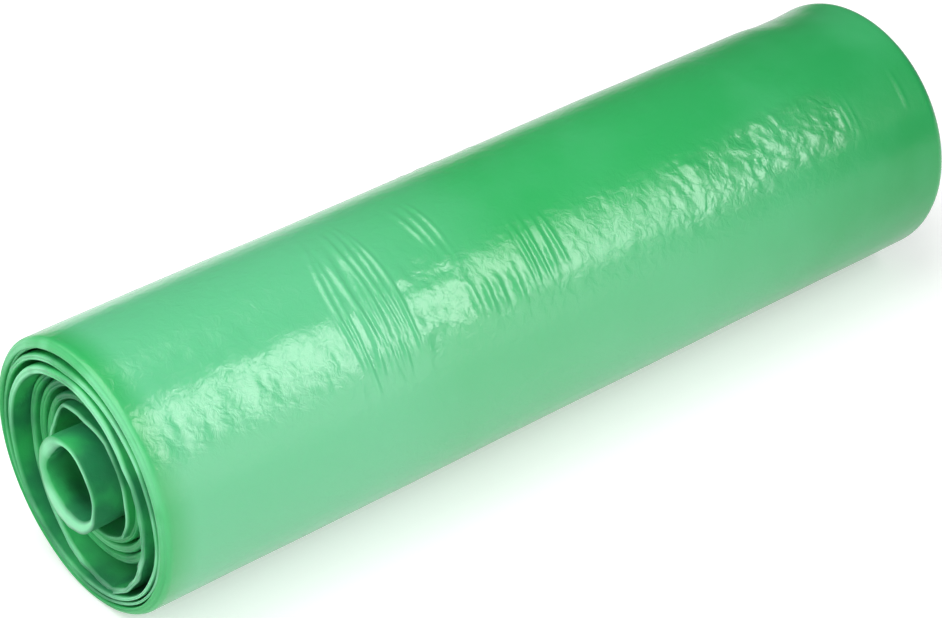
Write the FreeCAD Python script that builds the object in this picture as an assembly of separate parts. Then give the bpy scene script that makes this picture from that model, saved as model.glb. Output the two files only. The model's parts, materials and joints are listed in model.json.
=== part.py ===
import FreeCAD
import Part

import math
import os

# A roll of thin plastic bin bags, wound without a cardboard core and lying on its side.
# One long strip of folded film, its bags joined end to end, is wound on itself: pressed solid
# inside, with its turns open at both ends. X runs along the roll, from the near end, where the
# innermost turns have slipped out as a tube, to the far end. Z is up.
# The origin is under the middle of the whole, on the surface that it lies on.
# All sizes are in millimetres. Left and right are as seen from the near end.

# The strip
strip_width = 225.0  # also the roll's length from rim to rim
ply_thickness = 1.3  # the folded strip, where its edge is free
roll_radius = 31.0

# The tube of innermost turns and the hole left by the winding spindle
hole_radius = 8.7
tube_wall = 1.7
tube_slip = 4.0  # how far the tube has slipped out at the near end
tube_lip = 0.4  # bevel of its edge

# The open gaps from the tube out to the rim, in proportion, where they cross each side
right_gaps = (1.65, 1.6, 1.3, 1.2, 1.2, 2.4)
left_gaps = (2.35, 2.5, 1.5, 1.4, 1.35, 0.95)
near_gap_depth = 13.0
far_gap_depth = 6.0

# The rim, where the last turns lie tight
tight_turns = 2
groove_width = 0.35
groove_depth = 2.0
near_shoulder = 1.6  # rounding of the outermost turn
far_shoulder = 3.0

# The middle turns have slipped the other way: a dish at the near end, a crown at the far one
middle_slip = 4.2
crest_slip = 2.0  # the same for the turn next to the tube
dish_slope = 1.2  # how far in the dish takes to reach its depth
dish_right = -1.0  # the dish's centre, from the roll's axis
dish_up = 1.0

# What lying does to it
flat_depth = 0.7  # the soft roll is flattened by this much where it rests

# The strip's free end, a step along the whole length, low at the back
step_height = 0.5
step_angle = 215.0  # from the right, over the top
step_fade = 100.0  # how far round the roll fills out again

CLEARANCE = 1.0  # how far a cut reaches past what it cuts
QUARTER = math.pi / 2
SHOULDER_FLATS = 4

tube_radius = hole_radius + tube_wall
rim_inner = roll_radius - tight_turns * (ply_thickness + groove_width) - ply_thickness
whole_length = strip_width + tube_slip + middle_slip
near_rim = tube_slip - whole_length / 2
far_rim = near_rim + strip_width
axis_height = roll_radius - flat_depth


def at(x, right, up):
    """A point given by its place along the roll and its distances from the roll's axis."""
    return FreeCAD.Vector(x, -right, axis_height + up)


def around(x, radius, angle):
    """A point on a circle round the axis. The angle runs from the right, over the top."""
    return at(x, radius * math.cos(angle), radius * math.sin(angle))


def line(start, end):
    return Part.LineSegment(start, end).toShape()


def arc(start, middle, end):
    return Part.Arc(start, middle, end).toShape()


def cylinder(start, end, radius, right=0.0, up=0.0):
    return Part.makeCylinder(radius, end - start, at(start, right, up), FreeCAD.Vector(1, 0, 0))


def revolve_outline(points, right=0.0, up=0.0):
    """Turn an outline in an upright plane into a solid round an axis along the roll."""
    face = Part.Face(Part.makePolygon(points + points[:1]))
    return face.revolve(at(0, right, up), FreeCAD.Vector(1, 0, 0), 360)


def shoulder(x, inward, size):
    """The rounded outer edge of a rim, in flats, from the end face out to the side."""
    angles = [QUARTER * step / SHOULDER_FLATS for step in range(SHOULDER_FLATS + 1)]
    return [
        at(x + inward * size * (1 - math.cos(a)), 0, roll_radius - size * (1 - math.sin(a)))
        for a in angles
    ]


def pressed_roll():
    """The whole roll from rim to rim, as if its turns had nowhere opened or slipped."""
    near_edge = shoulder(near_rim, 1, near_shoulder)
    far_edge = shoulder(far_rim, -1, far_shoulder)
    return revolve_outline([at(near_rim, 0, 0)] + near_edge + far_edge[::-1] + [at(far_rim, 0, 0)])


def slipped_middle(rim):
    """What the middle turns have slipped out of one rim and into the other, as a shape on the first.

    It is a crown with a lower ring round the tube, and its edge lies in the last open gap."""
    edge = rim_inner - right_gaps[-1] / 2 + dish_right
    brow = edge - dish_slope
    crest_edge = tube_radius + 2 * ply_thickness + right_gaps[0]
    crest_top = crest_edge - ply_thickness
    points = [
        at(rim, dish_right, dish_up),
        at(rim, dish_right, dish_up + edge),
        at(rim + middle_slip, dish_right, dish_up + brow),
        at(rim + middle_slip, dish_right, dish_up + crest_edge),
        at(rim + crest_slip, dish_right, dish_up + crest_top),
        at(rim + crest_slip, dish_right, dish_up),
    ]
    return revolve_outline(points, dish_right, dish_up)


def tube():
    """The innermost turns, slipped towards the near end. The hole is cut later."""
    tip = near_rim - tube_slip
    body = cylinder(tip, far_rim - tube_slip, tube_radius)
    tip_edges = [e for e in body.Edges if abs(e.BoundBox.XMax - tip) < CLEARANCE / 10]
    return body.makeChamfer(tube_lip, tip_edges)


def crossings():
    """How far out the strip's middle line is each time it crosses the right or left side.

    The first is on the left, where the strip is still part of the tube."""
    ply = ply_thickness
    scale = (rim_inner - tube_radius - (len(right_gaps) - 1) * ply) / sum(right_gaps)
    gaps = [scale * gap for pair in zip(right_gaps, left_gaps) for gap in pair]
    radii = [
        tube_radius - ply / 2,
        tube_radius + gaps[0] + ply / 2,
        tube_radius + gaps[1] + ply / 2,
    ]
    for gap in gaps[2:]:
        radii.append(radii[-2] + ply + gap)
    for _ in range(2 * tight_turns):
        radii.append(radii[-2] + ply + groove_width)
    return radii


def half_turn(radii, index, offset, x):
    """The strip's path from one crossing to the next, moved outwards by offset."""
    start = radii[index] + offset
    end = radii[index + 1] + offset
    side = -1 if index % 2 == 0 else 1
    centre = side * (start - end) / 2
    return arc(
        at(x, side * start, 0),
        at(x, centre, side * (start + end) / 2),
        at(x, -side * end, 0),
    )


def channel(radii, first, last, floor, mouth):
    """The gap outside the path's half turns first to last, up to the turn one further out."""
    half_ply = ply_thickness / 2
    inner = [half_turn(radii, n, half_ply, floor) for n in range(first, last + 1)]
    outer = [half_turn(radii, n + 2, -half_ply, floor) for n in range(first, last + 1)]
    first_side = -1 if first % 2 == 0 else 1
    last_side = -1 if (last + 1) % 2 == 0 else 1
    start = line(
        at(floor, first_side * (radii[first] + half_ply), 0),
        at(floor, first_side * (radii[first + 2] - half_ply), 0),
    )
    end = line(
        at(floor, last_side * (radii[last + 1] + half_ply), 0),
        at(floor, last_side * (radii[last + 3] - half_ply), 0),
    )
    face = Part.Face(Part.Wire(Part.__sortEdges__(inner + outer + [start, end])))
    return face.extrude(FreeCAD.Vector(mouth - floor, 0, 0))


def wedge(radii, floor, mouth):
    """The gap round the tube, from the sharp corner where the strip leaves it to the first channel."""
    half_ply = ply_thickness / 2
    below = half_turn(radii, 0, -half_ply, floor)
    above = half_turn(radii, 1, -half_ply, floor)
    close = line(
        at(floor, half_ply - radii[2], 0),
        at(floor, half_ply - radii[0], 0),
    )
    face = Part.Face(Part.Wire([below, above, close]))
    turned = face.extrude(FreeCAD.Vector(mouth - floor, 0, 0))
    return turned.cut(cylinder(min(floor, mouth) - CLEARANCE, max(floor, mouth) + CLEARANCE, tube_radius))


def open_turns(rim, outward, depth, reach):
    """Everything cut into one end to part its turns. outward is -1 at the near end."""
    radii = crossings()
    floor = rim - outward * depth
    groove_floor = rim - outward * groove_depth
    mouth = rim + outward * (reach + CLEARANCE)
    last_open = 2 * len(right_gaps) - 2
    last_tight = last_open + 2 * tight_turns
    gaps = channel(radii, 0, last_open, floor, mouth)
    grooves = channel(radii, last_open + 1, last_tight - 2, groove_floor, mouth)
    return [wedge(radii, floor, mouth), gaps, grooves]


def flat_spot():
    """The slab below the surface that the roll lies on."""
    length = whole_length + 2 * CLEARANCE
    width = 2 * (roll_radius + CLEARANCE)
    corner = FreeCAD.Vector(-length / 2, -width / 2, -width)
    return Part.makeBox(length, width, width, corner)


def free_end():
    """The thin wedge of air outside the roll beyond the strip's free end."""
    start = math.radians(step_angle)
    end = start + math.radians(step_fade)
    middle = (start + end) / 2
    x = -whole_length / 2 - CLEARANCE
    low = roll_radius - step_height
    high = roll_radius + CLEARANCE
    points = [
        around(x, low, start),
        around(x, (low + roll_radius) / 2, middle),
        around(x, roll_radius, end),
        around(x, high, end),
        around(x, high, middle),
        around(x, high, start),
    ]
    edges = [
        arc(points[0], points[1], points[2]),
        line(points[2], points[3]),
        arc(points[3], points[4], points[5]),
        line(points[5], points[0]),
    ]
    face = Part.Face(Part.Wire(edges))
    return face.extrude(FreeCAD.Vector(whole_length + 2 * CLEARANCE, 0, 0))


def bag_roll():
    roll = pressed_roll().cut([free_end()])
    roll = roll.cut(slipped_middle(near_rim)).fuse(slipped_middle(far_rim))
    roll = roll.cut(cylinder(far_rim - tube_slip, far_rim + whole_length, tube_radius))
    roll = roll.fuse(tube())
    roll = roll.cut(open_turns(near_rim, -1, near_gap_depth, tube_slip))
    roll = roll.cut(open_turns(far_rim, 1, far_gap_depth, middle_slip))
    hole = cylinder(-whole_length, whole_length, hole_radius)
    return roll.cut([hole, flat_spot()])


def main():
    os.makedirs("parts", exist_ok=True)
    bag_roll().exportStep("parts/bag_roll.step")


main()
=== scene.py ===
import bpy
import bmesh
import json
import math
import random
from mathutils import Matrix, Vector, noise


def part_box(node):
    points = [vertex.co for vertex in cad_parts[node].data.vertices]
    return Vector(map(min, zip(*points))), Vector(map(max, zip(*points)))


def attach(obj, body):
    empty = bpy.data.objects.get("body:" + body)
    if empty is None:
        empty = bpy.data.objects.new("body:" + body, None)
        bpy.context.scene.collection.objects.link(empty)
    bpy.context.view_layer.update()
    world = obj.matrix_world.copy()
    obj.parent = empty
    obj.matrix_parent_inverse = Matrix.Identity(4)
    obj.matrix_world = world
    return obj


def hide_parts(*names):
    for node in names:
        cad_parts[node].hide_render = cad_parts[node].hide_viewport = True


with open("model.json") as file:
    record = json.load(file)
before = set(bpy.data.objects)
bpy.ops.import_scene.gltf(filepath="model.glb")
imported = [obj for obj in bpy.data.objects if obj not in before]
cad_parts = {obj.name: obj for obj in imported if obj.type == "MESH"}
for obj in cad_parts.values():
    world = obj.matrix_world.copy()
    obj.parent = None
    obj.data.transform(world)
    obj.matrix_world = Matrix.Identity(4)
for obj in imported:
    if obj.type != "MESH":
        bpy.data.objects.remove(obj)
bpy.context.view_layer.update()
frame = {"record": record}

# The roll lies along X. Left, right and angles are as seen from the near end, at the lower X:
# an angle runs from the right, over the top, to the left.
MM = 0.001
QUARTER = math.pi / 2
FULL_TURN = 2 * math.pi

# Sizes taken from the solid
low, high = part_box("bag_roll")
spindle_hole = next(m for m in frame["record"]["mounts"] if m["name"] == "spindle_hole")
axis_height = spindle_hole["pos_m"][2]
hole_radius = spindle_hole["dims"]["r_mm"] * MM
roll_radius = high[1]

# Sizes of the winding, the same as the solid's
tube_slip = 4.0 * MM
middle_slip = 4.2 * MM
tube_radius = 10.4 * MM
ply = 1.3 * MM
near_gap_depth = 13.0 * MM
far_gap_depth = 6.0 * MM
near_rim = low[0] + tube_slip
far_rim = high[0] - middle_slip

# Where the strip's middle line crosses the left side, then the right, and so on outwards
strip_crossings = [r * MM for r in (
    9.6, 13.9, 13.4, 15.6, 17.2, 17.8, 20.1, 20.0, 22.6, 23.5, 24.8, 27.2, 27.6, 28.3, 28.8, 29.5, 29.9,
)]
strip_turns = 7.6  # turns of the open strip, the last tucked under the skin
arc_per_turn = 120 * MM  # a middling turn's length
edge_thickness = 0.82 * ply  # where its swell is 1
edge_wall = 12 * MM  # how far down from its crest the strip's edge is made
crushed_turns = (4.25, 4.5)  # where the strip was crushed, at the lower right

# How far the strip's edge lies inside the near rim and outside the far one, by turns from the tube
edge_slip = [(t, d * MM) for t, d in (
    (0.0, -3.0), (0.2, 0.8), (0.4, 1.8), (1.0, 2.2), (1.5, 3.6), (2.0, 4.2), (3.6, 4.4), (4.0, 3.4),
    (4.25, 0.8), (4.5, -0.5), (5.1, -0.7), (5.5, 0.0), (7.6, 0.0),
)]

# How many times its thickness the strip's edge has, as it swells or is pressed, by turns from the tube
edge_swell = [
    (0.0, 0.7), (0.4, 0.75), (1.0, 0.9), (1.5, 1.4), (2.0, 1.9), (2.5, 1.6), (3.0, 1.9), (3.3, 2.0),
    (3.6, 1.6), (4.0, 1.6), (4.3, 1.1), (4.55, 0.9), (4.68, 2.0), (4.85, 2.0), (5.05, 0.9), (5.5, 0.8),
    (5.75, 1.6), (6.0, 0.8), (7.6, 0.7),
]

# How pale its folds are, by turns from the tube: partly the thin film's paler edge and partly painted
# highlight, left off the deep turns that lie in shade
fold_pale_and_highlight_by_turn = [
    (0.0, 0.8), (1.0, 0.9), (1.3, 0.0), (2.1, 0.0), (2.25, 0.4), (2.4, 0.0), (3.9, 0.0), (4.25, 0.9),
    (4.9, 1.0), (5.05, 0.3), (5.2, 0.3), (5.3, 0.9), (5.8, 0.9), (5.95, 0.3), (6.2, 0.3), (6.3, 0.9),
    (7.6, 0.6),
]

# Creases and bulges of the strip seen from the near end: turn, reach in turns, how far out, sharpness
creases = [
    (0.40, 0.10, 1.5 * MM, 1.0),
    (0.66, 0.16, 0.9 * MM, 2.0),
    (0.83, 0.09, 2.0 * MM, 1.0),
    (4.30, 0.14, 2.5 * MM, 1.5),
    (4.60, 0.13, -1.1 * MM, 2.0),
    (4.80, 0.20, -0.7 * MM, 2.0),
    (5.76, 0.24, -1.5 * MM, 1.5),
]

# The tube: where its tip lies, to the right and up from the roll's axis, and how deep its lip is
tip_right = 1.2 * MM
tip_up = 0.8 * MM
lip_depth = 0.6 * MM
tube_fine_length = 14 * MM  # how far in from the near rim its mesh is fine

# How pale the tube's lip is, by degrees round it: partly the thin film's paler edge and partly painted
# highlight, lower on the left where the lip lies in shade
lip_pale_and_highlight_by_angle = [
    (0, 0.9), (90, 0.9), (110, 0.6), (135, 0.9), (165, 0.5), (195, 0.4), (225, 1.0), (300, 1.0), (360, 0.9),
]

# The skin's rounded shoulders: how far in from the side, and how far along the roll
near_shoulder = (2.1 * MM, 1.9 * MM)
far_shoulder = (2.4 * MM, 3.0 * MM)
skin_wall = 2.2 * MM
layer_pitch = 0.75 * MM  # from one fine groove on a shoulder to the next
layer_groove_depth = 0.22 * MM

# The strip's free end on the side
step_height = 0.5 * MM
step_angle = math.radians(215)
step_fade = math.radians(100)

# How deep the roll is pressed in at its two dents
far_dent = 0.5 * MM
near_dent = 0.8 * MM

# Places on the side: from and to in millimetres along the roll, and how far it fades, from and to in
# degrees round it, and how far it fades, and how strong it is
crumpled_places = [
    (55, 82, 4, 36, 58, 5, 1.0),
    (33, 58, 5, 30, 53, 5, 0.8),
    (-40, -25, 5, 34, 62, 7, 0.55),
]
creased_places = [
    (-109, -40, 6, 22, 68, 8, 1.0),
    (-40, 34, 6, 28, 62, 6, 0.7),
    (-85, 20, 15, 140, 178, 12, 0.7),
    (0, 80, 15, 195, 240, 12, 0.5),
]

# Where the crumpled places have short folds: from and to along the roll and round it, and how many
fold_places = [
    (32, 84, 33, 60, 24),
    (-40, -24, 33, 62, 7),
]
fold_width = 0.7 * MM
fold_reach = 6 * MM

# The stretch along the roll with most wrinkles, which has the finest mesh
fine_start = -63 * MM
fine_end = 9 * MM

# Lamps: name, place, where it points, size and watts
lamps = [
    ("key_softbox", (0.60, -0.755, 0.84), (0.31, 0, 0.03), (0.27, 0.9), 5.3),
    ("left_softbox", (-0.30, -0.75, 0.66), (0, 0, 0.03), (0.5, 0.5), 0.4),
    ("end_softbox", (-0.78, -0.42, 0.50), (-0.11, 0, 0.03), (0.6, 0.5), 2.6),
    ("top_softbox", (-0.25, 0.10, 0.70), (-0.10, 0, 0.03), (0.7, 0.7), 4.5),
    ("back_softbox", (-0.45, 0.75, 0.55), (-0.03, 0, 0.03), (0.6, 0.5), 1.3),
    ("white_card", (0.12, -1.0, 0.22), (0.12, 0, 0.22), (1.3, 0.44), 2.8),
]
world_strength = 0.12

# The camera: its turn from the roll's right side, its height and its distance from what it looks at
camera_turn = math.radians(-39.7)
camera_height = math.radians(34.0)
camera_distance = 0.6944
camera_target = Vector((-0.0080, 0.0, axis_height - 0.0030))
camera_lens = 118.9


def place(x, radius, angle):
    """The point at a distance from the roll's axis and an angle round it."""
    return Vector((x, -radius * math.cos(angle), axis_height + radius * math.sin(angle)))


def polar(point):
    """A point's distance from the roll's axis, and its angle from the right, from 0 to a full turn."""
    up = point.z - axis_height
    return math.hypot(point.y, up), math.atan2(up, -point.y) % FULL_TURN


def smooth_step(share):
    share = min(max(share, 0.0), 1.0)
    return share * share * (3 - 2 * share)


def window(value, start, end, edge):
    """1 between start and end, falling smoothly to 0 over the edge on each side."""
    return smooth_step((value - start) / edge + 1) * smooth_step((end - value) / edge + 1)


def between(points, at):
    """The value at a place on a line through (place, value) points, with soft corners."""
    for (a, start), (b, end) in zip(points, points[1:]):
        if at <= b:
            return start + (end - start) * smooth_step((at - a) / (b - a))
    return points[-1][1]


def ripple(size, x, y=0.0, z=0.0):
    """Smooth unevenness from -1 to 1 that changes over about the given size.

    A place may be given by fewer than three numbers, and the next one then picks another pattern."""
    return noise.noise(Vector((x, y, z)) / size)


def mark_verts(bm, name, value_at):
    """Give each point a value that the film's material is mixed by."""
    layer = bm.verts.layers.float.new(name)
    for vert in bm.verts:
        vert[layer] = value_at(vert)


def finish_piece(name, bm, material):
    bmesh.ops.recalc_face_normals(bm, faces=bm.faces)
    for face in bm.faces:
        face.smooth = True
    mesh = bpy.data.meshes.new(name)
    bm.to_mesh(mesh)
    bm.free()
    mesh.materials.append(material)
    piece = bpy.data.objects.new(name, mesh)
    bpy.context.collection.objects.link(piece)
    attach(piece, "root")
    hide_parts("bag_roll")
    return piece


def spin_outline(bm, points, steps, cuts):
    """Turn a closed outline of (x, radius) points round the roll's axis.

    cuts tells into how many more pieces the edge after a point is divided first."""
    verts = [bm.verts.new(place(x, radius, 0)) for x, radius in points]
    edges = [bm.edges.new(pair) for pair in zip(verts, verts[1:] + verts[:1])]
    for index, count in cuts.items():
        bmesh.ops.subdivide_edges(bm, edges=[edges[index]], cuts=count)
    bmesh.ops.spin(
        bm,
        geom=bm.verts[:] + bm.edges[:],
        cent=(0, 0, axis_height),
        axis=(1, 0, 0),
        angle=FULL_TURN,
        steps=steps,
        use_merge=True,
    )


def shoulder_points(rim, inward, reach, steps=14):
    """A rounded shoulder's outline from the end face to the side, as a quarter of an ellipse."""
    across, along = reach
    angles = [QUARTER * step / steps for step in range(steps + 1)]
    return [
        (rim + inward * along * (1 - math.cos(a)), roll_radius - across * (1 - math.sin(a)))
        for a in angles
    ]


def wrinkle_group(seed, count, along, around, width, height, bends=(0.0, 0.0)):
    """Wrinkles side by side that run round the roll.

    along gives the first and last x in millimetres, around the lowest and highest angle in degrees.
    A wrinkle is its x, its lowest and highest angle, its half width, its height and its bend."""
    draw = random.Random(seed)
    reach = around[1] - around[0]
    group = []
    for index in range(count):
        share = (index + draw.uniform(-0.3, 0.3)) / max(count - 1, 1)
        group.append((
            (along[0] + share * (along[1] - along[0])) * MM,
            math.radians(around[0] + reach * draw.uniform(-0.05, 0.2)),
            math.radians(around[1] - reach * draw.uniform(-0.05, 0.2)),
            width * draw.uniform(0.8, 1.2) * MM,
            height * draw.uniform(0.6, 1.3) * MM,
            (bends[0] + share * (bends[1] - bends[0])) * MM,
        ))
    return group


def make_wrinkles():
    right_side = (
        wrinkle_group(3, 9, (-57.5, -43.5), (24, 101), 0.5, 0.26, bends=(9.0, 2.0))
        + wrinkle_group(4, 5, (-56, -47), (22, 42), 0.45, 0.18)
        + wrinkle_group(5, 3, (-30, -26), (60, 98), 0.5, 0.2)
        + wrinkle_group(6, 5, (-27, -12), (29, 49), 1.05, 0.22)
        + wrinkle_group(7, 4, (-9.5, -1), (33, 67), 0.6, 0.21)
        + wrinkle_group(8, 3, (84.5, 88), (34, 53), 0.45, 0.22)
        + wrinkle_group(9, 1, (103.5, 103.5), (35, 55), 0.4, 0.22)
    )
    left_side = (
        wrinkle_group(10, 6, (-80, -52), (150, 205), 0.6, 0.24, bends=(-1.0, 0.5))
        + wrinkle_group(11, 5, (-14, 8), (118, 178), 0.8, 0.16, bends=(1.0, -0.5))
        + wrinkle_group(12, 5, (48, 66), (160, 212), 0.6, 0.24, bends=(0.5, -1.0))
        + wrinkle_group(13, 4, (20, 38), (228, 262), 0.55, 0.2)
    )
    return right_side + left_side


def wrinkle_height(wrinkles, x, angle):
    """The height of the wrinkles at a place on the side. Higher up they bend along the roll."""
    bend_from = 0.9
    height = 0.0
    for centre, lowest, highest, width, top, bend in wrinkles:
        if lowest < angle < highest:
            share = (angle - lowest) / (highest - lowest)
            bent = bend * max(0.0, angle - bend_from) ** 2
            wave = 0.3 * MM * math.sin(6 * angle + centre / MM)
            across = (x - centre - bent - wave) / width
            if abs(across) < 3:
                rise = (4 * share * (1 - share)) ** 0.6
                height += top * rise * (1.2 * math.exp(-across * across) - 0.2)
    return height


def strength(places, x, angle):
    """How strongly the film is marked at a place on the side. Where two of the places meet, they add up."""
    along = x / MM
    degrees = math.degrees(angle)
    return sum(
        share * window(along, start, end, fade) * window(degrees, lowest, highest, soften)
        for start, end, fade, lowest, highest, soften, share in places
    )


def crumple(x, angle):
    """Small creases where the film was pressed, as a height."""
    large = strength(crumpled_places, x, angle)
    small = strength(creased_places, x, angle) + 0.3 * large
    if large + small < 0.01:
        return 0.0
    arc = angle * roll_radius
    fine = abs(ripple(2.4 * MM, x * 0.8, arc, 5.1)) + 0.9 * ripple(5 * MM, x, arc * 0.7, 7.3)
    height = -0.13 * MM * small * fine
    if large > 0.01:
        along = x + 0.5 * arc
        around = arc - 0.35 * x
        height -= 0.30 * MM * large * abs(ripple(8 * MM, along * 0.6, around, 2.2))
        height += 0.18 * MM * large * abs(ripple(5 * MM, along, around * 0.6, 9.4))
        height -= 0.10 * MM * large * abs(ripple(2.6 * MM, x, arc, 4.8))
    return height


def make_folds():
    """Short straight folds: (middle x, middle angle, direction, half length, height)."""
    draw = random.Random(21)
    folds = []
    for first, last, lowest, highest, count in fold_places:
        for _ in range(count):
            folds.append((
                draw.uniform(first, last) * MM,
                math.radians(draw.uniform(lowest, highest)),
                draw.uniform(-0.3, 1.3),
                draw.uniform(2.0, 4.5) * MM,
                draw.choice((1.0, -0.8)) * draw.uniform(0.10, 0.22) * MM,
            ))
    return folds


def fold_height(folds, x, angle):
    """The height of the short folds at a place on the side. Most slant down towards the far end."""
    height = 0.0
    for centre, middle, slant, half, top in folds:
        along = x - centre
        down = (middle - angle) * roll_radius
        if abs(along) > fold_reach or abs(down) > fold_reach:
            continue
        lengthways = along * math.cos(slant) + down * math.sin(slant)
        across = (down * math.cos(slant) - along * math.sin(slant)) / fold_width
        height += top * smooth_step(1.3 - abs(lengthways) / half) * math.exp(-across * across)
    return height


def free_end(angle):
    """How far the side lies inside the full radius, beyond the strip's free end."""
    past = (angle - step_angle) % FULL_TURN
    return step_height * max(0.0, 1 - past / step_fade)


def dents(x, angle):
    """How far the roll is pressed in: behind the far end's top, and low on the near end's left."""
    degrees = math.degrees(angle)
    far_top = window(degrees, 112, 124, 28) * window(x - far_rim, -15 * MM, -9 * MM, 9 * MM)
    near_left = window(degrees, 215, 235, 25) * window(x - near_rim, 0, 2 * MM, 16 * MM)
    return far_dent * far_top + near_dent * near_left


def layer_groove(depth, angle):
    """How deep the fine spiral groove between the outermost layers is on a shoulder, from 0 to 1."""
    turns_in = depth / layer_pitch + angle / FULL_TURN
    return max(0.0, math.cos(FULL_TURN * turns_in)) ** 3 * smooth_step(depth / (0.4 * MM))


def shape_side(bm, wrinkles, folds):
    """Give the skin its soft unevenness, wrinkles, free end and flat spot."""
    for vert in bm.verts:
        radius, angle = polar(vert.co)
        depth = roll_radius - radius
        if depth > skin_wall:
            continue
        x = vert.co.x
        hold = smooth_step(1 - depth / skin_wall)
        relief = 0.16 * MM * ripple(40 * MM, x, vert.co.y, vert.co.z)
        relief += 0.06 * MM * ripple(9 * MM, x * 0.6, vert.co.y, vert.co.z)
        relief += wrinkle_height(wrinkles, x, angle) + crumple(x, angle) + fold_height(folds, x, angle)
        relief -= dents(x, angle) + free_end(angle)
        near = smooth_step(1 - (x - near_rim) / near_shoulder[1])
        far = smooth_step(1 - (far_rim - x) / far_shoulder[1])
        groove = layer_groove_depth * layer_groove(depth, angle)
        vert.co = place(x + groove * (near - far), radius + hold * relief, angle)
        vert.co.z = max(vert.co.z, 0.0)


def on_side(vert):
    """1 on the roll's side, falling to 0 round its shoulders."""
    return min(
        smooth_step(1 - (roll_radius - polar(vert.co)[0]) / (1.0 * MM)),
        smooth_step((vert.co.x - near_rim) / (3 * MM)),
        smooth_step((far_rim - vert.co.x) / (3 * MM)),
    )


def rim_painted_highlight(vert):
    """Painted highlight on the near rim, strongest near the top where the light falls."""
    top = smooth_step(math.cos(polar(vert.co)[1] - math.radians(80)) + 0.2)
    return 0.6 * top * smooth_step(1 - abs(vert.co.x - near_rim) / (2.0 * MM))


def skin_outline():
    """The closed outline of the skin and the wells' floors, and which of its edges are divided."""
    near_floor = near_rim + near_gap_depth
    far_floor = far_rim - far_gap_depth
    under_tube = hole_radius + 0.3 * MM
    below_rim = 1.0 * MM
    near = shoulder_points(near_rim, 1, near_shoulder)
    far = shoulder_points(far_rim, -1, far_shoulder)
    near_inner = near[0][1]
    far_inner = far[0][1]
    points = [(near_floor, under_tube), (near_floor, near_inner), (near_rim + below_rim, near_inner)]
    points += near
    side = len(points) - 1
    points += [(fine_start, roll_radius), (fine_end, roll_radius)]
    points += far[::-1]
    points += [(far_rim - below_rim, far_inner), (far_floor, far_inner), (far_floor, under_tube)]
    return points, {side: 80, side + 1: 195, side + 2: 155}


def make_skin(material):
    """The outermost turns with the pressed roll inside them, and the open wells at both ends."""
    points, cuts = skin_outline()
    bm = bmesh.new()
    spin_outline(bm, points, 192, cuts)
    mark_verts(bm, "outer", on_side)
    mark_verts(bm, "fold_pale_and_highlight", rim_painted_highlight)
    mark_verts(bm, "tight", lambda vert: smooth_step(1.2 - (vert.co.x - near_rim) / (8 * MM)))
    mark_verts(bm, "crumpled", lambda vert: strength(crumpled_places, vert.co.x, polar(vert.co)[1]))
    shape_side(bm, make_wrinkles(), make_folds())
    return finish_piece("skin", bm, material)


def strip_radius(turn):
    """How far out the strip's middle line is, some turns after it leaves the tube on the left."""
    place_on = turn * 2
    index = min(int(place_on), len(strip_crossings) - 2)
    share = (1 - math.cos(math.pi * (place_on - index))) / 2
    radius = strip_crossings[index] + share * (strip_crossings[index + 1] - strip_crossings[index])
    for centre, reach, out, sharp in creases:
        near = max(0.0, 1 - abs(turn - centre) / reach)
        radius += out * near ** sharp
    return radius


def edge_profile(folds=2, steps=12):
    """The closed outline of the strip's edge: (across, from -1 to 1, and how far below its crest)."""
    wall = [edge_wall, 8 * MM, 5 * MM, 3 * MM, 1.6 * MM, 0.8 * MM]
    crest = []
    for step in range(steps + 1):
        across = -1 + 2 * step / steps
        round_off = 0.5 * (1 - math.sqrt(1 - min(1, abs(across)) ** 2.5))
        groove = 0.24 * (1 + math.cos(math.pi * folds * (across + 1))) / 2
        crest.append((across, (round_off + groove) * MM))
    inner = [(-1.0, depth) for depth in wall]
    outer = [(1.0, depth) for depth in wall[::-1]]
    return inner + crest + outer + inner[:1]


def wound(turn, across, below, rim, outward, seed, unevenness):
    """Where a point of the strip's edge lies once it is wound up.

    turn is its place along the strip, and across and below are its place on the edge's outline."""
    arc = turn * arc_per_turn
    crushed = 4.0 * window(turn, *crushed_turns, 0.1)
    radius = strip_radius(turn)
    if outward < 0:
        # The near end's tube leans to the right, and the strip starts inside its wall
        radius -= tip_right * max(0.0, 1 - turn / 0.12)
    wobble = 0.16 * MM * ripple(9 * MM, arc, seed)
    wobble += (1 + crushed) * 0.07 * MM * ripple(3.5 * MM, arc, seed + 4)
    lean = 0.35 * MM * ripple(16 * MM, arc, seed + 6) * (1 - below / edge_wall)
    swell = between(edge_swell, turn) * (1 + 0.22 * unevenness * ripple(14 * MM, arc, seed + 9))
    crest = 0.25 * MM * ripple(12 * MM, arc, seed + 2)
    crest += crushed * 0.2 * MM * ripple(5 * MM, arc, across, seed + 7)
    tuck = 1.2 * MM * smooth_step((turn - 6.0) / 1.2)
    x = rim + between(edge_slip, turn) + unevenness * crest - outward * (below + tuck)
    radius += unevenness * (wobble + lean) + across * swell * edge_thickness / 2
    return place(x, radius, math.pi + turn * FULL_TURN)


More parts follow.
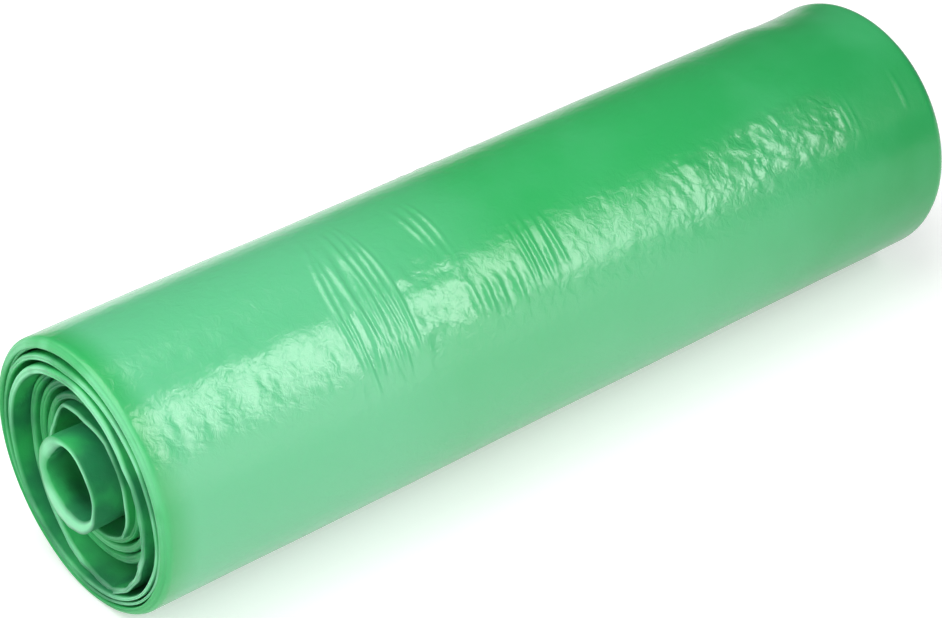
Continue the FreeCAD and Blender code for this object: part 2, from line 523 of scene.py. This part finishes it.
def make_strip(name, rim, outward, material, seed, unevenness):
    """The strip's folded edge at one end, wound from the tube out to the skin.

    A flat grid, long as the strip and wide as the edge's outline, is wound up point by point."""
    profile = edge_profile()
    bm = bmesh.new()
    bm.loops.layers.uv.new("UVMap")
    bmesh.ops.create_grid(bm, x_segments=760, y_segments=len(profile) - 1, size=1.0, calc_uvs=True)
    fold_pale_and_highlight = bm.verts.layers.float.new("fold_pale_and_highlight")
    for vert in bm.verts:
        turn = (vert.co.x + 1) / 2 * strip_turns
        across, below = profile[round((vert.co.y + 1) / 2 * (len(profile) - 1))]
        # Paleness on the edge's crest: partly the thin film's paler edge and partly painted highlight
        vert[fold_pale_and_highlight] = smooth_step(1 - below / (0.8 * MM)) * between(fold_pale_and_highlight_by_turn, turn)
        vert.co = wound(turn, across, below, rim, outward, seed, unevenness)
    bmesh.ops.remove_doubles(bm, verts=bm.verts, dist=0.001 * MM)
    bmesh.ops.holes_fill(bm, edges=[e for e in bm.edges if e.is_boundary], sides=0)
    return finish_piece(name, bm, material)


def lip_outline(tip, steps=10):
    """The rounded lip at the tube's tip, from the hole out to the side, with two shallow grooves."""
    points = []
    for step in range(steps + 1):
        a = math.pi * step / steps
        groove = 0.2 * MM * (1 - math.cos(4 * a)) / 2
        x = tip + lip_depth * (1 - math.sin(a)) + groove
        points.append((x, hole_radius + (tube_radius - hole_radius) * (1 - math.cos(a)) / 2))
    return points


def wall_growth(angle):
    """How much thicker the tube's wall is at its tip, by the angle round it. It grows inwards."""
    growth = 3.5 * MM * max(0.0, math.cos((angle - math.radians(248)) * 0.8)) ** 2
    growth += 1.7 * MM * window(math.degrees(angle), 128, 142, 38)
    return growth - 1.0 * MM * max(0.0, math.cos(angle - math.radians(15)))


def shape_tube(bm):
    """Lean, swell and crease the tube where it has slipped out of the roll."""
    for vert in bm.verts:
        radius, angle = polar(vert.co)
        free = smooth_step((near_rim + 6 * MM - vert.co.x) / (8 * MM))
        aside = smooth_step((near_rim + 30 * MM - vert.co.x) / (30 * MM))
        swell = 0.45 * MM * math.cos(2 * (angle - math.radians(100)))
        inner = smooth_step((tube_radius - radius) / (tube_radius - hole_radius))
        wave = 0.25 * MM * math.sin(angle + 0.6) + 0.2 * MM * ripple(5 * MM, vert.co.y, vert.co.z)
        on_wall = (0.3 * vert.co.x, tube_radius * math.cos(angle), tube_radius * math.sin(angle))
        folds = 0.28 * MM * (0.3 - abs(ripple(5 * MM, *on_wall))) + 0.1 * MM * ripple(2.5 * MM, *on_wall)
        radius += free * (swell - inner * wall_growth(angle)) + aside * folds
        vert.co = place(vert.co.x + free * wave, radius, angle)
        vert.co += aside * Vector((0, -tip_right, tip_up))


def make_tube(material):
    """The innermost turns, slipped out at the near end and sunk as far at the other."""
    tip = near_rim - tube_slip
    tail = far_rim - tube_slip
    fine_to = near_rim + tube_fine_length
    lip = lip_outline(tip)
    points = lip + [(fine_to, tube_radius), (tail, tube_radius), (tail, hole_radius)]
    points.append((fine_to, hole_radius))
    bm = bmesh.new()
    spin_outline(bm, points, 144, cuts={len(lip) - 1: 24, len(points) - 1: 24})
    # Paleness of the lip's rounded tip: partly its thin film and partly painted highlight
    mark_verts(bm, "fold_pale_and_highlight", lambda vert: smooth_step(1 - (vert.co.x - tip) / lip_depth)
               * between(lip_pale_and_highlight_by_angle, math.degrees(polar(vert.co)[1])))
    shape_tube(bm)
    return finish_piece("tube", bm, material)


def shader_tree(name):
    material = bpy.data.materials.new(name)
    material.use_nodes = True
    tree = material.node_tree
    tree.nodes.clear()
    output = tree.nodes.new("ShaderNodeOutputMaterial")
    return material, tree, output


def add_node(tree, kind, inputs=None, **settings):
    """A node with its settings and inputs: a value is set, and a socket is linked."""
    node = tree.nodes.new(kind)
    for key, value in settings.items():
        setattr(node, key, value)
    for key, value in (inputs or {}).items():
        if isinstance(value, bpy.types.NodeSocket):
            tree.links.new(value, node.inputs[key])
        else:
            node.inputs[key].default_value = value
    return node


def maths(tree, operation, *values, clamp=False):
    """The result of one sum on values or sockets."""
    node = add_node(tree, "ShaderNodeMath", dict(enumerate(values)), operation=operation, use_clamp=clamp)
    return node.outputs[0]


def attribute(tree, name):
    return add_node(tree, "ShaderNodeAttribute", attribute_name=name).outputs["Fac"]


def noise_texture(tree, where, scale, detail, **more):
    inputs = {"Vector": where, "Scale": scale, "Detail": detail, **more}
    return add_node(tree, "ShaderNodeTexNoise", inputs).outputs[0]


def mix_colours(tree, factor, first, second):
    """Both colours and the factor may be values or sockets."""
    node = add_node(tree, "ShaderNodeMix", {0: factor, 6: first, 7: second}, data_type="RGBA")
    return node.outputs[2]


def map_range(tree, value, start, end, low_value=0.0, high_value=1.0):
    node = add_node(tree, "ShaderNodeMapRange", {
        "Value": value,
        "From Min": start,
        "From Max": end,
        "To Min": low_value,
        "To Max": high_value,
    }, interpolation_type="SMOOTHSTEP")
    return node.outputs[0]


def loose_film_and_painted_light(tree, along, across, outer, tight):
    """How much paler the side is painted: most at the near end, partly loosely wound outer turns and partly
    painted light, and a little along the right as a painted reflection of the white floor.
    """
    # Painted reflection of the white floor along the right side, fading out towards the far end
    right = map_range(tree, maths(tree, "MULTIPLY", across, -1.0), 0.014, 0.030)
    right = maths(tree, "MULTIPLY", right, map_range(tree, along, 0.11, 0.02, 0.0, 0.6))
    loose_and_painted_light = maths(tree, "MAXIMUM", map_range(tree, along, 0.0, -0.06), right)
    loose_and_painted_light = maths(tree, "MULTIPLY", loose_and_painted_light, outer)
    return maths(tree, "SUBTRACT", loose_and_painted_light, tight, clamp=True)


def film_colour(tree, where, along, across, outer):
    """Deep where many layers lie close and deeper towards the far end, partly tighter film and partly painted
    shade. Paler towards the near end, partly loosely wound film and partly painted light, and along the right
    as a painted reflection of the white floor. Painted shade in patches inside the ends, and palest on the
    folds, partly their thin film and partly painted highlight.
    """
    shaded = (0.016, 0.23, 0.085, 1)
    inside = (0.034, 0.47, 0.125, 1)
    far_deep_and_painted_shade = (0.022, 0.33, 0.088, 1)
    deep = (0.030, 0.43, 0.115, 1)
    pale = (0.116, 0.54, 0.258, 1)
    highlight_mint = (0.30, 0.86, 0.49, 1)
    tight = attribute(tree, "tight")
    loose_and_painted_light = loose_film_and_painted_light(tree, along, across, outer, tight)
    cloudy = map_range(tree, noise_texture(tree, where, 28.0, 3.0), 0.35, 0.7, 0.0, 0.28)
    patches = map_range(tree, noise_texture(tree, where, 75.0, 2.0), 0.35, 0.6, 0.3, 1.0)
    # Painted highlight on the folds, partly the thin film's paler edge, broken into patches
    folded = maths(tree, "MULTIPLY", attribute(tree, "fold_pale_and_highlight"), patches)
    # Painted shade: dark patches on the surfaces inside the ends, lifted near the near rim
    shades = map_range(tree, noise_texture(tree, where, 70.0, 3.0), 0.4, 0.62)
    shades = maths(tree, "MAXIMUM", shades, tight)
    # Darker towards the far end: partly the film packed tighter there and partly painted shade
    side = mix_colours(tree, map_range(tree, along, 0.0, 0.12), deep, far_deep_and_painted_shade)
    colour = mix_colours(tree, outer, mix_colours(tree, shades, shaded, inside), side)
    colour = mix_colours(tree, loose_and_painted_light, colour, pale)
    colour = mix_colours(tree, cloudy, colour, pale)
    return mix_colours(tree, folded, colour, highlight_mint)


def film_relief(tree, where, along, pressed):
    """The film's fine crinkle, weaker at the far end, and short lines where it is crumpled."""
    crinkle = noise_texture(tree, where, 380.0, 4.0, Roughness=0.6, Distortion=0.6)
    crinkle = maths(tree, "MULTIPLY", crinkle, map_range(tree, along, 0.07, 0.10, 1.0, 0.3))
    lines = noise_texture(tree, where, 170.0, 3.0, Distortion=0.4)
    lines = maths(tree, "ABSOLUTE", maths(tree, "SUBTRACT", lines, 0.5))
    lines = map_range(tree, lines, 0.0, 0.2, 0.55, 0.0)
    lines = maths(tree, "MULTIPLY", lines, pressed)
    height = maths(tree, "ADD", crinkle, lines)
    return add_node(tree, "ShaderNodeBump", {"Strength": 0.5, "Distance": 0.0003, "Height": height}).outputs[0]


def film_material():
    """Green polyethylene film: glossy on the side, duller towards the far end and on the folded edges."""
    material, tree, output = shader_tree("green_film")
    where = add_node(tree, "ShaderNodeTexCoord").outputs["Object"]
    along, across, _ = add_node(tree, "ShaderNodeSeparateXYZ", {0: where}).outputs
    outer = attribute(tree, "outer")
    pressed = attribute(tree, "crumpled")
    film = {
        "Base Color": film_colour(tree, where, along, across, outer),
        "IOR": 1.5,
        "Subsurface Weight": 0.2,
        "Subsurface Radius": (0.3, 1.0, 0.45),
        "Subsurface Scale": 0.002,
        "Normal": film_relief(tree, where, along, pressed),
    }
    glossy = {**film, "Roughness": 0.23, "Specular IOR Level": 0.85}
    duller = {**film, "Roughness": 0.24, "Specular IOR Level": 0.3}
    edges = {**film, "Roughness": 0.45, "Specular IOR Level": 0.35}
    far = maths(tree, "SUBTRACT", map_range(tree, along, -0.02, 0.12), pressed, clamp=True)
    near_side = add_node(tree, "ShaderNodeBsdfPrincipled", glossy).outputs[0]
    far_side = add_node(tree, "ShaderNodeBsdfPrincipled", duller).outputs[0]
    ends = add_node(tree, "ShaderNodeBsdfPrincipled", edges).outputs[0]
    side = add_node(tree, "ShaderNodeMixShader", {0: far, 1: near_side, 2: far_side}).outputs[0]
    both = add_node(tree, "ShaderNodeMixShader", {0: outer, 1: ends, 2: side}).outputs[0]
    tree.links.new(both, output.inputs[0])
    return material


def floor_material():
    """White to the camera and in reflections, and still darker where the roll shades it."""
    material, tree, output = shader_tree("white_floor")
    path = add_node(tree, "ShaderNodeLightPath").outputs
    seen = maths(tree, "MAXIMUM", path["Is Camera Ray"], path["Is Glossy Ray"])
    seen = maths(tree, "MAXIMUM", seen, path["Is Transmission Ray"])
    matte = add_node(tree, "ShaderNodeBsdfDiffuse", {"Color": (0.8, 0.8, 0.8, 1)}).outputs[0]
    lift = add_node(tree, "ShaderNodeEmission", {
        "Color": (1, 1, 1, 1),
        "Strength": maths(tree, "MULTIPLY", seen, 0.4),
    }).outputs[0]
    both = add_node(tree, "ShaderNodeAddShader", {0: matte, 1: lift}).outputs[0]
    tree.links.new(both, output.inputs[0])
    return material


def make_floor():
    bm = bmesh.new()
    bmesh.ops.create_grid(bm, x_segments=1, y_segments=1, size=4.0)
    mesh = bpy.data.meshes.new("floor")
    bm.to_mesh(mesh)
    bm.free()
    mesh.materials.append(floor_material())
    floor = bpy.data.objects.new("floor", mesh)
    bpy.context.collection.objects.link(floor)


def add_light(name, position, aim, size, watts):
    lamp = bpy.data.lights.new(name, "AREA")
    lamp.shape = "RECTANGLE"
    lamp.size, lamp.size_y = size
    lamp.energy = watts
    light = bpy.data.objects.new(name, lamp)
    light.location = position
    light.rotation_euler = (Vector(aim) - Vector(position)).to_track_quat("-Z", "Y").to_euler()
    light.visible_camera = False
    bpy.context.collection.objects.link(light)


def set_world():
    world = bpy.data.worlds.new("studio")
    bpy.context.scene.world = world
    world.use_nodes = True
    background = world.node_tree.nodes["Background"]
    background.inputs["Color"].default_value = (1, 1, 1, 1)
    background.inputs["Strength"].default_value = world_strength


def make_camera():
    """The photograph's view: from the near end's right, looking down on the roll."""
    back = Vector((
        math.sin(camera_turn) * math.cos(camera_height),
        -math.cos(camera_turn) * math.cos(camera_height),
        math.sin(camera_height),
    ))
    lens = bpy.data.cameras.new("camera")
    lens.sensor_width = 36.0
    lens.lens = camera_lens
    camera = bpy.data.objects.new("camera", lens)
    camera.location = camera_target + back * camera_distance
    camera.rotation_euler = back.to_track_quat("Z", "Y").to_euler()
    bpy.context.collection.objects.link(camera)
    bpy.context.scene.camera = camera


film = film_material()
make_skin(film)
make_tube(film)
make_strip("near_turns", near_rim, -1, film, 1.0, 1.0)
make_strip("far_turns", far_rim, 1, film, 31.0, 0.8)
make_floor()
set_world()
for lamp in lamps:
    add_light(*lamp)
make_camera()
bpy.context.scene.view_settings.view_transform = "Standard"
